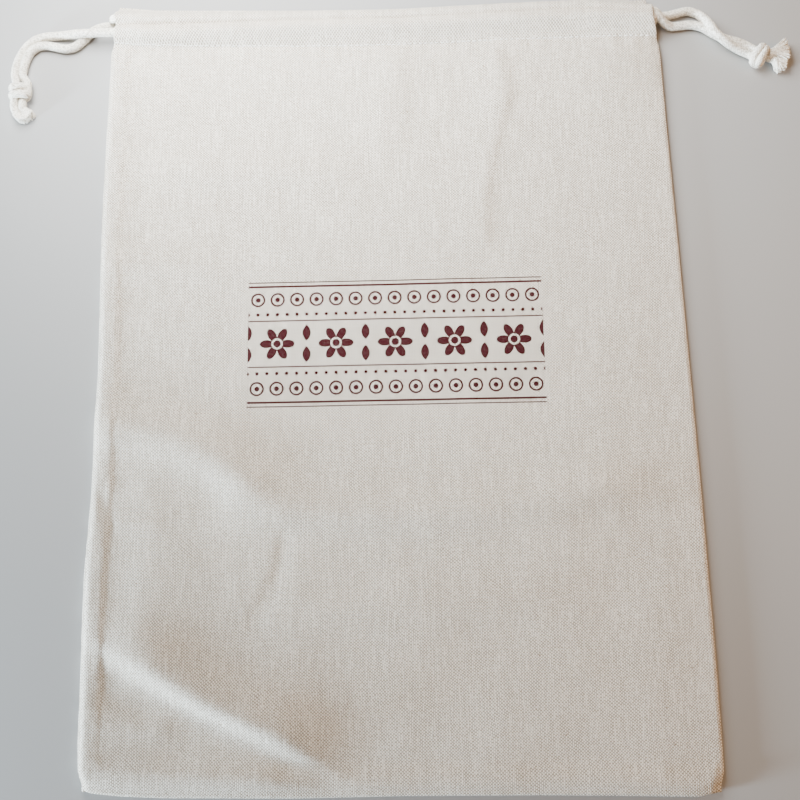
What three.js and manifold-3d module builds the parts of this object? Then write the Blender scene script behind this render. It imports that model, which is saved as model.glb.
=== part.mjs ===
// Calico drawstring bread bag with two cotton drawcords, lying flat on its back with its mouth closed.
// Millimetres, +Z up. X runs from the sewn side (-) to the folded side (+), Y from the bottom to the mouth.
// The origin is on the surface below the middle of the cloth.
import * as THREE from 'three';
import { mergeVertices } from 'three/addons/utils/BufferGeometryUtils.js';
import Module from 'manifold-3d';

const { degToRad, lerp, smoothstep } = THREE.MathUtils;

// Driving dimensions of the cloth. Heights are from the surface, and "down" is the distance from the mouth.
const BAG_LENGTH = 402; // mouth fold to bottom seam
const CLOTH = 1; // one thickness of calico
const SLACK = 1; // air between the two panels where they lie flat
const EDGE_ROUND = 0.6; // how far the rounded edge stands out past the flat faces
const ALLOWANCE = 10; // seam allowance inside the side and bottom seams
const ALLOWANCE_RISE = 1.2; // what the allowances add to the height
const FOLD_EDGE = 2.4; // height of the pressed fold along the +X side
const CASING_DEPTH = 20.6; // mouth fold to the casing's row of stitches
const CASING_LIFT = 2.2; // how far the cords lift the front panel just below the casing
const LIFT_REACH = 34; // distance over which that lift fades down the panel
const CHANNEL_MIN = 0.5; // a channel's height where no cord fills it
const SLIT = 0.5; // gap between the two hems at the mouth
const SLIT_END = 20.8; // the slit meets the inside of the bag at this distance down
const FRONT_HANG = 3.9; // lowest height of the front hem's underside
const INSIDE_FROM = 0.035; // parts of the width between which the bag is hollow
const INSIDE_TO = 0.995;

// How the cloth drapes over the cords in a casing
const DRAPE_GAP = 0.72; // clearance over a cord, kept between grid lines too
const DRAPE_CURVE = 0.18; // fall close to the cord, by the square of the distance
const DRAPE_REACH = 2.8; // past this the cloth falls at 45 degrees

// Driving dimensions of the drawcords
const CORD = 4.1; // diameter where a cord lies free
const RUN_WIDTH = 4.8; // a cord is pressed oval inside the casing
const RUN_HEIGHT = 2.9;
const BEND = 3; // diameter where a cord turns from the front casing to the back one
const CORD_SIDES = 8;
const FACE_GAP = 0.3; // gap between pieces that touch
const STRAND_STEP = 4.5; // length of one facet along a free strand
const RUN_STEP = 13; // and along a straight stretch in a casing
const RUN_STATIONS = 24;
const RUN_ENDS = { seamX: -147.9, foldX: 144.5 };
const BEND_GAP = 0.85; // from the end of a run to its turn
const BEND_REACH = 2; // how far a turn swings out past that
const BEND_STATIONS = 10;
const BEND_STEP = 1.6;

// Outline of the cloth: both side edges at distances down from the mouth
const SIDE_EDGES = [
  { down: 0, seamX: -147.0, foldX: 143.0 },
  { down: 18, seamX: -147.2, foldX: 144.0 },
  { down: 21, seamX: -148.6, foldX: 146.0 },
  { down: 26, seamX: -149.8, foldX: 147.8 },
  { down: 76, seamX: -150.4, foldX: 148.0 },
  { down: 122, seamX: -150.5, foldX: 148.5 },
  { down: 208, seamX: -148.1, foldX: 149.5 },
  { down: 268, seamX: -148.3, foldX: 150.1 },
  { down: 306, seamX: -149.7, foldX: 150.2 },
  { down: 344, seamX: -149.0, foldX: 150.4 },
  { down: 384, seamX: -148.4, foldX: 150.1 },
  { down: 396, seamX: -147.2, foldX: 149.8 },
  { down: 402, seamX: -145.4, foldX: 148.2 },
];

// Outline of the cloth: mouth fold and bottom seam across the bag
const END_EDGES = [
  { x: -148, mouthY: 203.6, bottomY: -197.6 },
  { x: -140, mouthY: 202.8, bottomY: -199.6 },
  { x: -127, mouthY: 201.2, bottomY: -200.9 },
  { x: -108, mouthY: 200.4, bottomY: -201.8 },
  { x: -47, mouthY: 198.4, bottomY: -202.5 },
  { x: 5, mouthY: 197.5, bottomY: -201.8 },
  { x: 66, mouthY: 198.9, bottomY: -202.0 },
  { x: 106, mouthY: 199.4, bottomY: -202.6 },
  { x: 138, mouthY: 199.4, bottomY: -203.3 },
  { x: 149, mouthY: 199.4, bottomY: -201.2 },
];

// Soft folds of the front panel, each from one place [x, y] to another. The two widths are to the left and
// to the right of that way, bow is the arc's height to the left, and fade is how far the ends run out.
const FOLDS = [
  { fold: 'corner ridge', from: [-112, -141], to: [-62, -170], bow: 0, rise: 5.2, widths: [16, 10], fade: 30 },
  { fold: 'seam ridge', from: [-134, -30], to: [-76, -54], bow: 6, rise: 3.4, widths: [14, 12], fade: 20 },
  { fold: 'low ridge', from: [-134, -182], to: [-66, -190], bow: 0, rise: 2.0, widths: [8, 8], fade: 22 },
  { fold: 'corner pocket', from: [-136, -156], to: [-118, -164], bow: 0, rise: -1.2, widths: [7, 7], fade: 9 },
  { fold: 'long low roll', from: [-30, -78], to: [96, -66], bow: -4, rise: 1.5, widths: [12, 9], fade: 34 },
  { fold: 'lower roll', from: [-20, -120], to: [40, -116], bow: 0, rise: 1.0, widths: [12, 9], fade: 30 },
  { fold: 'side roll', from: [-136, 56], to: [-98, 54], bow: 0, rise: 1.3, widths: [10, 9], fade: 20 },
  { fold: 'upper roll', from: [-98, 107], to: [-44, 105], bow: 0, rise: 1.1, widths: [11, 9], fade: 26 },
  { fold: 'casing pucker', from: [2, 160], to: [-2, 128], bow: 0, rise: 0.8, widths: [7, 10], fade: 16 },
  { fold: 'long crease', from: [59, 168], to: [48, 62], bow: 9, rise: 1.2, widths: [8, 6], fade: 14 },
];

// Where the drawcords run inside the two casings: distance down from the mouth, and height of the middle.
// The left cord is the lower one in both casings, and the right cord the upper one.
const FRONT_LEFT_RUN = [
  { x: -150, down: 15.8, z: 7.5 },
  { x: -132, down: 15.1, z: 9.05 },
  { x: -46, down: 11.8, z: 9.3 },
  { x: 106, down: 10.7, z: 9.3 },
  { x: 146, down: 14.0, z: 9.3 },
];
const FRONT_RIGHT_RUN = [
  { x: -150, down: 8.2, z: 9.3 },
  { x: -46, down: 6.2, z: 9.3 },
  { x: 106, down: 5.3, z: 9.3 },
  { x: 146, down: 8.7, z: 9.3 },
];
const BACK_LEFT_RUN = [
  { x: -150, down: 10.4, z: 2.8 },
  { x: -46, down: 11.8, z: 2.8 },
  { x: 106, down: 12.4, z: 2.8 },
  { x: 146, down: 14.2, z: 2.8 },
];
const BACK_RIGHT_RUN = [
  { x: -150, down: 5.0, z: 2.8 },
  { x: -46, down: 6.2, z: 2.8 },
  { x: 106, down: 7.0, z: 2.8 },
  { x: 146, down: 8.7, z: 2.8 },
];

// The four free strands, from the casing's end to the knot
const LEFT_UPPER_STRAND = [
  [-148.5, 188.0, 7.5], [-154.3, 188.7, 7.3], [-159.9, 187.7, 6.9], [-165.9, 187.0, 6.4],
  [-171.5, 188.2, 4.6], [-177.1, 189.5, 2.7], [-182.3, 189.9, 2.15], [-186.4, 189.7, 2.15],
  [-192.3, 188.1, 2.15], [-197.4, 183.8, 2.15], [-201.1, 177.7, 2.15], [-202.6, 170.6, 2.15],
  [-202.0, 163.6, 2.3],
];
const LEFT_LOWER_STRAND = [
  [-148.5, 193.3, 2.8], [-156.0, 193.6, 2.2], [-160.8, 192.3, 2.15], [-163.3, 188.3, 2.15],
  [-166.8, 184.0, 2.15], [-172.8, 181.3, 2.15], [-178.5, 181.6, 2.15], [-184.1, 182.6, 2.15],
  [-189.6, 181.9, 2.15], [-194.1, 178.0, 2.15], [-197.0, 171.8, 2.15], [-197.1, 163.6, 2.3],
];
const RIGHT_UPPER_STRAND = [
  [145.2, 190.7, 9.3], [147.4, 190.2, 9.0], [149.8, 188.6, 8.0], [152.4, 186.5, 6.2],
  [155.6, 184.9, 4.1], [159.8, 184.4, 2.6], [165.2, 184.7, 2.15], [171.0, 183.4, 2.15],
  [176.0, 180.4, 2.15], [180.4, 177.5, 2.15], [185.4, 175.4, 2.15], [190.2, 174.0, 2.2],
  [194.0, 171.6, 2.5],
];
const RIGHT_LOWER_STRAND = [
  [145.3, 190.8, 2.8], [148.4, 191.2, 2.5], [152.2, 192.8, 2.15], [158.2, 193.8, 2.15],
  [164.4, 193.6, 2.15], [169.4, 191.4, 2.6], [172.6, 187.2, 5.2], [174.6, 181.6, 7.1],
  [177.2, 176.8, 7.1], [180.8, 173.3, 6.9], [184.8, 170.8, 5.6], [188.6, 168.9, 3.8],
  [191.8, 167.2, 2.6],
];

// The knots: centre, heading of the bundle through them, and slant, radius and pitch of their wraps
const LEFT_KNOT = { x: -198.0, y: 155.3, z: 4.55, heading: -88, slant: -4, wrapRadius: 3.7, pitch: 4.0 };
const RIGHT_KNOT = { x: 199.6, y: 164.6, z: 5.15, heading: -18, slant: -8, wrapRadius: 4.5, pitch: 3.6 };
const KNOT_FLATTEN = 0.78; // a pulled knot lies lower than it is wide
const KNOT_CORE = { halfLength: 6.2, halfWidth: 4.3, halfHeight: 3.2 };

// The cut ends past the knots: root, heading, length and how far the unlaid tip spreads
const TAILS = [
  { name: 'left_tail_outer', x: -200.2, y: 148.5, z: 2.3, heading: -70, length: 9.8, spread: 1.25 },
  { name: 'left_tail_inner', x: -195.6, y: 148.9, z: 2.3, heading: -54, length: 9.0, spread: 1.25 },
  { name: 'right_tail_upper', x: 206.0, y: 165.2, z: 2.6, heading: 38, length: 11.0, spread: 1.35 },
  { name: 'right_tail_lower', x: 205.6, y: 160.9, z: 2.6, heading: -44, length: 9.5, spread: 1.45 },
];
const TAIL_SIDES = 10;
const TAIL_FLATTEN = 0.85; // a cut end lies a little flat

// Grid lines of the cloth: parts of the width, and distances down from the mouth
const ACROSS = [
  0, 0.012, 0.035, 0.046, 0.07, 0.1, 0.13, 0.16, 0.19, 0.22, 0.25, 0.28, 0.32, 0.37, 0.42, 0.48,
  0.54, 0.6, 0.66, 0.72, 0.78, 0.84, 0.9, 0.95, 0.98, 0.995, 1,
];
const CASING_ACROSS = [
  -0.03, 0, 0.035, 0.07, 0.1, 0.16, 0.25, 0.32, 0.42, 0.54, 0.66, 0.78, 0.84, 0.9, 0.95, 1, 1.03,
];
const CHANNEL_DOWN = [1.8, 3.4, 5, 6.5, 8, 9.5, 11, 12.5, 14, 15.6, 17.2, 19];
const PANEL_DOWN = [
  21.8, 26, 33, 42, 55, 70, 85, 100, 115, 130, 150, 170, 190, 205, 220, 232, 244, 256, 270, 285,
  300, 312, 324, 334, 344, 353, 362, 371, 380, 387, 391,
];
const DOWN = [0, 0.9, ...CHANNEL_DOWN, 20.2, ...PANEL_DOWN, 393.5, 398, 402];

const wasm = await Module();
wasm.setup();

// Value of one column of a table at a place between its rows
function readTable(rows, by, column, at) {
  const last = rows.length - 1;
  if (at <= rows[0][by]) {
    return rows[0][column];
  }
  if (at >= rows[last][by]) {
    return rows[last][column];
  }
  const next = rows.findIndex((row) => row[by] > at);
  const before = rows[next - 1];
  const after = rows[next];
  return lerp(before[column], after[column], (at - before[by]) / (after[by] - before[by]));
}

// The place on the plan at a part of the width and a distance down from the mouth
function placeAt(across, down) {
  const seamX = readTable(SIDE_EDGES, 'down', 'seamX', down);
  const foldX = readTable(SIDE_EDGES, 'down', 'foldX', down);
  const x = lerp(seamX, foldX, across);
  const mouthY = readTable(END_EDGES, 'x', 'mouthY', x);
  const bottomY = readTable(END_EDGES, 'x', 'bottomY', x);
  const y = lerp(mouthY, bottomY, down / BAG_LENGTH);
  return { x, y, down, fromSeam: x - seamX, fromFold: foldX - x, fromBottom: BAG_LENGTH - down };
}

// Height of one fold of the front panel at a place
function foldRise(fold, place) {
  const [fromX, fromY] = fold.from;
  const [toX, toY] = fold.to;
  const run = Math.hypot(toX - fromX, toY - fromY);
  const wayX = (toX - fromX) / run;
  const wayY = (toY - fromY) / run;
  const offX = place.x - fromX;
  const offY = place.y - fromY;
  const along = offX * wayX + offY * wayY;
  const part = THREE.MathUtils.clamp(along / run, 0, 1);
  const aside = offY * wayX - offX * wayY - fold.bow * 4 * part * (1 - part);
  const width = fold.widths[aside > 0 ? 0 : 1];
  const past = Math.max(0, -along, along - run);
  return fold.rise * Math.exp(-((aside / width) ** 2) - (past / fold.fade) ** 2);
}

// Height of the front panel below the casing
function panelTop(place) {
  const flat = 2 * CLOTH + SLACK;
  const seamBand = 1 - smoothstep(place.fromSeam, ALLOWANCE - 1, ALLOWANCE + 2);
  const bottomBand = 1 - smoothstep(place.fromBottom, ALLOWANCE - 1, ALLOWANCE + 2);
  const band = ALLOWANCE_RISE * Math.max(seamBand, bottomBand);
  const sides = smoothstep(Math.min(place.fromSeam, place.fromFold), -15, 25);
  const lift = CASING_LIFT * sides * Math.exp(-(((place.down - CASING_DEPTH) / LIFT_REACH) ** 2));
  const folds = FOLDS.reduce((sum, fold) => sum + foldRise(fold, place), 0);
  const foldEdge = 1 - smoothstep(place.fromFold, 0, 7);
  return lerp(flat + band + lift + folds, FOLD_EDGE + 0.5 * lift, foldEdge);
}

// Height of the cloth draped over the oval cords of a casing, from how far each one lies aside
function drape(runs, place) {
  const heights = runs.map((run) => {
    const aside = Math.abs(place.down - readTable(run, 'x', 'down', place.x));
    const near = Math.min(aside, DRAPE_REACH);
    const fall = DRAPE_CURVE * near ** 2 + Math.max(0, aside - DRAPE_REACH);
    return readTable(run, 'x', 'z', place.x) + RUN_HEIGHT / 2 + DRAPE_GAP - fall;
  });
  return Math.max(...heights);
}

// Heights of the casing's layers from the surface up: back panel, back hem, slit, front hem, front panel
function casingLayers(place) {
  const backCeiling = Math.max(CLOTH + CHANNEL_MIN, drape([BACK_LEFT_RUN, BACK_RIGHT_RUN], place));
  const backTop = backCeiling + CLOTH;
  const frontUnder = Math.max(backTop + SLIT, FRONT_HANG);
  const frontFloor = frontUnder + CLOTH;
  const frontCeiling = Math.max(frontFloor + CHANNEL_MIN, drape([FRONT_LEFT_RUN, FRONT_RIGHT_RUN], place));
  return { backCeiling, backTop, frontUnder, frontFloor, frontCeiling };
}

// Upper surface of the whole bag: it rounds over at the mouth and runs into the panel below the stitches
function bagTop(place) {
  const layers = casingLayers(place);
  const pressed = layers.frontUnder + 2 * CLOTH + CHANNEL_MIN;
  const overMouth = smoothstep(place.down, -0.4, CHANNEL_DOWN[0]);
  const casingTop = lerp(pressed, layers.frontCeiling + CLOTH, overMouth);
  return lerp(casingTop, panelTop(place), smoothstep(place.down, CHANNEL_DOWN.at(-1), PANEL_DOWN[0]));
}

function manifoldOf(points, faces) {
  const vertProperties = new Float32Array(points);
  const triVerts = new Uint32Array(faces);
  return new wasm.Manifold(new wasm.Mesh({ numProp: 3, vertProperties, triVerts }));
}

// Closed solid between a floor and a ceiling over the cloth's plan. A floor that is a number is one flat
// face. With a round, the side walls stand out by that much halfway up.
function layerSolid(acrossLines, downLines, floor, ceiling, round = 0) {
  const columns = acrossLines.length;
  const rows = downLines.length;
  const places = downLines.flatMap((down) => acrossLines.map((across) => placeAt(across, down)));
  const ringIndex = [
    ...acrossLines.map((_, i) => [i, rows - 1]),
    ...downLines.slice(1).map((_, j) => [columns - 1, rows - 2 - j]),
    ...acrossLines.slice(1).map((_, i) => [columns - 2 - i, 0]),
    ...downLines.slice(1, -1).map((_, j) => [0, j + 1]),
  ];
  const flat = typeof floor === 'number';
  const points = [];
  const faces = [];
  const addPoint = (x, y, z) => points.push(x, y, z) / 3 - 1;
  const addQuad = (a, b, c, d) => faces.push(a, b, c, a, c, d);
  const top = places.map((place) => addPoint(place.x, place.y, ceiling(place)));
  const ring = ringIndex.map(([i, j]) => j * columns + i);
  const floorHeight = (place) => (flat ? floor : floor(place));
  const base = new Map();
  const baseIndex = flat ? ring : places.map((_, index) => index);
  baseIndex.forEach((index) => {
    const place = places[index];
    base.set(index, addPoint(place.x, place.y, floorHeight(place)));
  });
  for (let j = 0; j < rows - 1; j += 1) {
    for (let i = 0; i < columns - 1; i += 1) {
      const near = j * columns + i;
      const far = near + columns;
      addQuad(top[near], top[far], top[far + 1], top[near + 1]);
      if (!flat) {
        addQuad(base.get(near), base.get(near + 1), base.get(far + 1), base.get(far));
      }
    }
  }
  if (flat) {
    const contour = ring.map((index) => new THREE.Vector2(places[index].x, places[index].y));
    THREE.ShapeUtils.triangulateShape(contour, []).forEach(([a, b, c]) => {
      faces.push(base.get(ring[a]), base.get(ring[c]), base.get(ring[b]));
    });
  }
  const middle = ringIndex.map(([i, j], k) => {
    const place = places[ring[k]];
    const outX = (i === columns - 1) - (i === 0);
    const outY = (j === 0) - (j === rows - 1);
    const scale = round / Math.hypot(outX, outY);
    const height = (floorHeight(place) + ceiling(place)) / 2;
    return round > 0 ? addPoint(place.x + outX * scale, place.y + outY * scale, height) : base.get(ring[k]);
  });
  ring.forEach((index, k) => {
    const next = (k + 1) % ring.length;
    const after = ring[next];
    if (round > 0) {
      addQuad(base.get(index), base.get(after), middle[next], middle[k]);
    }
    addQuad(middle[k], middle[next], top[after], top[index]);
  });
  return manifoldOf(points, faces);
}

function solidFrom(geometry) {
  const bare = geometry.clone();
  bare.deleteAttribute('normal');
  bare.deleteAttribute('uv');
  const merged = mergeVertices(bare, 1e-4);
  return manifoldOf(merged.attributes.position.array, merged.index.array);
}

function geometryFrom(solid) {
  const mesh = solid.getMesh();
  const geometry = new THREE.BufferGeometry();
  geometry.setAttribute('position', new THREE.BufferAttribute(new Float32Array(mesh.vertProperties), 3));
  geometry.setIndex(new THREE.BufferAttribute(new Uint32Array(mesh.triVerts), 1));
  geometry.computeVertexNormals();
  return geometry;
}

// The cloth is one solid: its outer form less the inside of the bag, the mouth slit and the two channels,
// which stay open at both ends where the cords come out
function bagCloth() {
  const outer = layerSolid(ACROSS, DOWN, 0, bagTop, EDGE_ROUND);
  const insideAcross = ACROSS.filter((across) => across >= INSIDE_FROM && across <= INSIDE_TO);
  const insideCeiling = (place) => {
    const casing = casingLayers(place).frontUnder - FACE_GAP;
    return place.down < SLIT_END ? casing : panelTop(place) - CLOTH;
  };
  const inside = layerSolid(insideAcross, [20.2, ...PANEL_DOWN], CLOTH, insideCeiling);
  const slitDown = [-3, 0, ...CHANNEL_DOWN, SLIT_END];
  const layer = (name) => (place) => casingLayers(place)[name];
  const slit = layerSolid(CASING_ACROSS, slitDown, layer('backTop'), layer('frontUnder'));
  const backChannel = layerSolid(CASING_ACROSS, CHANNEL_DOWN, CLOTH, layer('backCeiling'));
  const frontChannel = layerSolid(CASING_ACROSS, CHANNEL_DOWN, layer('frontFloor'), layer('frontCeiling'));
  return geometryFrom(outer.subtract(inside).subtract(slit).subtract(backChannel).subtract(frontChannel));
}

// Tube of an oval section along a smooth path
function tube(points, width, height, step) {
  const path = new THREE.CatmullRomCurve3(points);
  const section = new THREE.Shape();
  for (let k = 0; k < CORD_SIDES; k += 1) {
    const angle = (2 * Math.PI * k) / CORD_SIDES;
    const corner = [(Math.cos(angle) * height) / 2, (Math.sin(angle) * width) / 2];
    if (k === 0) {
      section.moveTo(...corner);
    } else {
      section.lineTo(...corner);
    }
  }
  section.closePath();
  const steps = Math.ceil(path.getLength() / step);
  return new THREE.ExtrudeGeometry(section, { steps, bevelEnabled: false, extrudePath: path });
}

// A stretch inside the casing, from its folded-side end, where it lies level, to its seam-side end
function runPoints(run) {
  return Array.from({ length: RUN_STATIONS + 1 }, (_, k) => {
    const x = lerp(RUN_ENDS.foldX, RUN_ENDS.seamX, k / RUN_STATIONS);
    const down = readTable(run, 'x', 'down', x);
    const mouthY = readTable(END_EDGES, 'x', 'mouthY', x);
    const bottomY = readTable(END_EDGES, 'x', 'bottomY', x);
    return new THREE.Vector3(x, lerp(mouthY, bottomY, down / BAG_LENGTH), readTable(run, 'x', 'z', x));
  });
}

// The turn outside a casing's end, from the front run to the back run of the same cord
function bendPoints(frontRun, backRun, endOfRun, outward) {
  const front = runPoints(frontRun).at(endOfRun);
  const back = runPoints(backRun).at(endOfRun);
  return Array.from({ length: BEND_STATIONS + 1 }, (_, k) => {
    const angle = (Math.PI * k) / BEND_STATIONS;
    const part = (1 - Math.cos(angle)) / 2;
    const x = front.x + outward * (BEND_GAP + BEND_REACH * Math.sin(angle));
    return new THREE.Vector3(x, lerp(front.y, back.y, part), lerp(front.z, back.z, part));
  });
}

// A pulled overhand knot in both strands: two wraps side by side round a core
function knot(size) {
  const core = new THREE.SphereGeometry(1, 14, 9);
  core.rotateX(Math.PI / 2);
  core.scale(KNOT_CORE.halfLength, KNOT_CORE.halfWidth, KNOT_CORE.halfHeight);
  let solid = solidFrom(core);
  [-0.5, 0.5].forEach((side) => {
    const wrap = new THREE.TorusGeometry(size.wrapRadius, CORD / 2, 8, 18);
    wrap.rotateY(Math.PI / 2);
    wrap.scale(1, 1, KNOT_FLATTEN);
    wrap.rotateZ(degToRad(size.slant));
    wrap.translate(side * size.pitch, 0, 0);
    solid = solid.add(solidFrom(wrap));
  });
  const geometry = geometryFrom(solid);
  geometry.rotateZ(degToRad(size.heading));
  geometry.translate(size.x, size.y, size.z);
  return geometry;
}

// A cut end, round at the knot and spread at the tip where its braid has opened
function tail(size) {
  const radius = CORD / 2;
  const profile = [
    [0, 0], [0.8, 0], [1, 0.08], [1, 0.5], [size.spread, 0.88], [size.spread * 0.9, 1], [0, 1],
  ].map(([width, along]) => new THREE.Vector2(width * radius, along * size.length));
  const geometry = new THREE.LatheGeometry(profile, TAIL_SIDES);
  geometry.rotateZ(-Math.PI / 2);
  geometry.scale(1, 1, TAIL_FLATTEN);
  geometry.rotateZ(degToRad(size.heading));
  geometry.translate(size.x, size.y, size.z);
  return geometry;
}

const group = new THREE.Group();

function addPiece(name, geometry, material) {
  const mesh = new THREE.Mesh(geometry, material);
  mesh.name = name;
  group.add(mesh);
}

const calico = () => new THREE.MeshStandardMaterial({ color: 0xd6d0c5, roughness: 0.95, metalness: 0 });
const cotton = () => new THREE.MeshStandardMaterial({ color: 0xe2d8c8, roughness: 0.9, metalness: 0 });

addPiece('bag_cloth', bagCloth(), calico());

const toVectors = (points) => points.map((point) => new THREE.Vector3(...point));
const strands = {
  left_strand_upper: LEFT_UPPER_STRAND,
  left_strand_lower: LEFT_LOWER_STRAND,
  right_strand_upper: RIGHT_UPPER_STRAND,
  right_strand_lower: RIGHT_LOWER_STRAND,
};
Object.entries(strands).forEach(([name, points]) => {
  addPiece(name, tube(toVectors(points), CORD, CORD, STRAND_STEP), cotton());
});

const runs = {
  left_cord_front_run: FRONT_LEFT_RUN,
  left_cord_back_run: BACK_LEFT_RUN,
  right_cord_front_run: FRONT_RIGHT_RUN,
  right_cord_back_run: BACK_RIGHT_RUN,
};
Object.entries(runs).forEach(([name, run]) => {
  addPiece(name, tube(runPoints(run), RUN_WIDTH, RUN_HEIGHT, RUN_STEP), cotton());
});

const leftCordBend = bendPoints(FRONT_LEFT_RUN, BACK_LEFT_RUN, 0, 1);
const rightCordBend = bendPoints(FRONT_RIGHT_RUN, BACK_RIGHT_RUN, -1, -1);
addPiece('left_cord_bend', tube(leftCordBend, BEND, BEND, BEND_STEP), cotton());
addPiece('right_cord_bend', tube(rightCordBend, BEND, BEND, BEND_STEP), cotton());

addPiece('left_knot', knot(LEFT_KNOT), cotton());
addPiece('right_knot', knot(RIGHT_KNOT), cotton());
TAILS.forEach((size) => addPiece(size.name, tail(size), cotton()));

export default group;
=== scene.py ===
import bmesh
import bpy
import numpy as np
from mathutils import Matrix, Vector


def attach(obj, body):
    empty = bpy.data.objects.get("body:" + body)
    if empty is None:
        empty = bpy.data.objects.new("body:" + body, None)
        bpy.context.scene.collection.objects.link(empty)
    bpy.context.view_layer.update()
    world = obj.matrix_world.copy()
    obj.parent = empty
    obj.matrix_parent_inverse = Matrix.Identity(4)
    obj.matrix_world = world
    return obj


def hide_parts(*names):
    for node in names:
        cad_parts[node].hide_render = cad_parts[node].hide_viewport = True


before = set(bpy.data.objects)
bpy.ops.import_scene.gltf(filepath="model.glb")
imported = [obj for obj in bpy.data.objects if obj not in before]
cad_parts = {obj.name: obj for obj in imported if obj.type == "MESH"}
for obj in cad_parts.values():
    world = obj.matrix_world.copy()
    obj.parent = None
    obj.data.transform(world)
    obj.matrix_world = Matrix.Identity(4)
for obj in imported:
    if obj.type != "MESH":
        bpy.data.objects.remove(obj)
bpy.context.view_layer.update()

# Camera
# It looks down on the bag from a little below its middle, so the casing end lies further away and
# looks narrower than the bottom, as in the photograph.
MM = 0.001
CAMERA_PLACE = np.array([13.28, -90.02, 395.57])
CAMERA_TURN = (10.35, 1.38, -0.88)
camera_data = bpy.data.cameras.new("camera")
camera_data.sensor_width = 36
camera_data.lens = 36
camera_data.clip_start = 0.01
camera = bpy.data.objects.new("camera", camera_data)
camera.location = CAMERA_PLACE * MM
camera.rotation_euler = np.radians(CAMERA_TURN)
bpy.context.scene.collection.objects.link(camera)
bpy.context.scene.camera = camera


# Drawcords, free strands
# Each drawcord is one length of soft cotton braid. Both of its strands leave the casing on the same side
# and are tied together in one pulled overhand knot, past which the two cut ends have begun to unlay.
CORD = 4.3
CORD_IN_KNOT = 4.0
CORD_SIDES = 48
CORD_STEP = 0.3
BRAID_STRANDS = 10
BRAID_LAY = 1.45
BRAID_RELIEF = 0.38
BRAID_LEVEL = 0.6
DRAWN_IN_OVER = 5
LET_OUT_OVER = 4
# The braid's colours: CREAM on the strands, and CREAM_SHADE, painted shade where they sink between each
# other.
CREAM = (0.90, 0.85, 0.755, 1)
CREAM_SHADE = (0.27, 0.215, 0.155, 1)

LEFT_UPPER_ROUTE = [
    (-143.0, 187.2, 8.2), (-148.5, 187.2, 7.4), (-155.0, 187.7, 7.0), (-160.0, 187.7, 6.7),
    (-165.5, 188.0, 6.2), (-171.5, 188.8, 4.6), (-177.0, 189.4, 2.9), (-182.3, 189.6, 2.2),
    (-187.4, 189.2, 2.3), (-192.4, 187.6, 2.3), (-196.8, 183.8, 2.3), (-200.2, 178.2, 2.3),
    (-202.3, 171.8, 2.2), (-202.6, 166.4, 2.4),
]
LEFT_LOWER_ROUTE = [
    (-143.0, 193.5, 3.0), (-148.5, 193.6, 3.4), (-154.5, 193.9, 2.8), (-159.6, 192.8, 2.2),
    (-163.2, 189.6, 2.3), (-166.6, 185.9, 2.3), (-170.6, 182.6, 2.3), (-175.0, 181.6, 2.3),
    (-180.6, 182.6, 2.3), (-186.0, 183.8, 2.3), (-190.6, 183.5, 2.3), (-194.6, 180.8, 2.3),
    (-197.2, 175.7, 2.3), (-198.3, 169.8, 2.3), (-198.2, 165.4, 2.6),
]
RIGHT_UPPER_ROUTE = [
    (140.0, 190.4, 9.3), (144.7, 188.8, 9.1), (147.9, 186.1, 7.3), (151.2, 184.5, 4.6),
    (154.8, 184.2, 2.7), (159.0, 184.7, 2.3), (164.8, 185.2, 2.3), (170.4, 184.0, 2.3),
    (176.8, 179.8, 2.3), (180.2, 177.7, 2.3), (184.0, 176.0, 2.3), (188.0, 174.7, 2.3),
    (191.6, 173.2, 2.3),
]
RIGHT_LOWER_ROUTE = [
    (140.0, 190.8, 2.8), (145.3, 190.8, 2.8), (149.6, 190.7, 2.6), (153.6, 191.2, 2.2),
    (158.4, 192.3, 2.3), (164.4, 193.4, 2.3), (169.0, 191.8, 2.3), (172.2, 188.0, 3.6),
    (174.5, 182.2, 5.9), (176.8, 177.2, 6.5), (180.2, 173.6, 6.3), (184.2, 171.2, 5.0),
    (188.4, 169.6, 3.4),
]

# Each strand's way through its knot: along the knot, aside, and height above the floor. It dives under the
# two bands, turns, comes up at the side, crosses over everything as a band, goes round the back of it and
# comes out through the loop.
LEFT_KNOT = {"place": (-197.9, 155.6), "heading": -88, "side": 1}
LEFT_OUTER_PASS = [
    (-8.0, -3.8, 2.7), (-5.2, -3.0, 3.2), (-2.5, -2.4, 3.6), (0.4, -2.0, 3.7), (2.6, -1.0, 3.2),
    (3.5, 0.8, 2.8), (3.2, 2.6, 3.2), (1.4, 3.9, 4.2), (-0.6, 4.1, 5.2), (-1.4, 2.6, 6.4),
    (-1.5, -0.2, 6.9), (-1.4, -3.0, 6.4), (-1.2, -4.3, 4.4), (-0.8, -3.7, 2.5), (0.2, -1.8, 2.1),
    (2.2, -2.0, 3.0), (4.6, -2.9, 4.3), (6.8, -3.5, 3.9),
]
LEFT_INNER_PASS = [
    (-8.4, 1.0, 2.7), (-6.2, 2.5, 3.2), (-3.9, 3.6, 3.9), (-1.4, 2.8, 3.7), (0.8, 1.8, 3.4),
    (2.0, 2.6, 3.3), (2.7, 3.7, 4.4), (2.9, 3.2, 6.0), (2.9, 1.2, 6.8), (3.0, -1.0, 6.9),
    (3.0, -3.3, 6.2), (3.1, -4.3, 4.3), (3.1, -3.5, 2.4), (3.4, -1.4, 2.1), (4.4, 0.2, 2.8),
    (6.4, 0.8, 3.4),
]
RIGHT_KNOT = {"place": (199.0, 164.6), "heading": -28, "side": -1}
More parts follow.
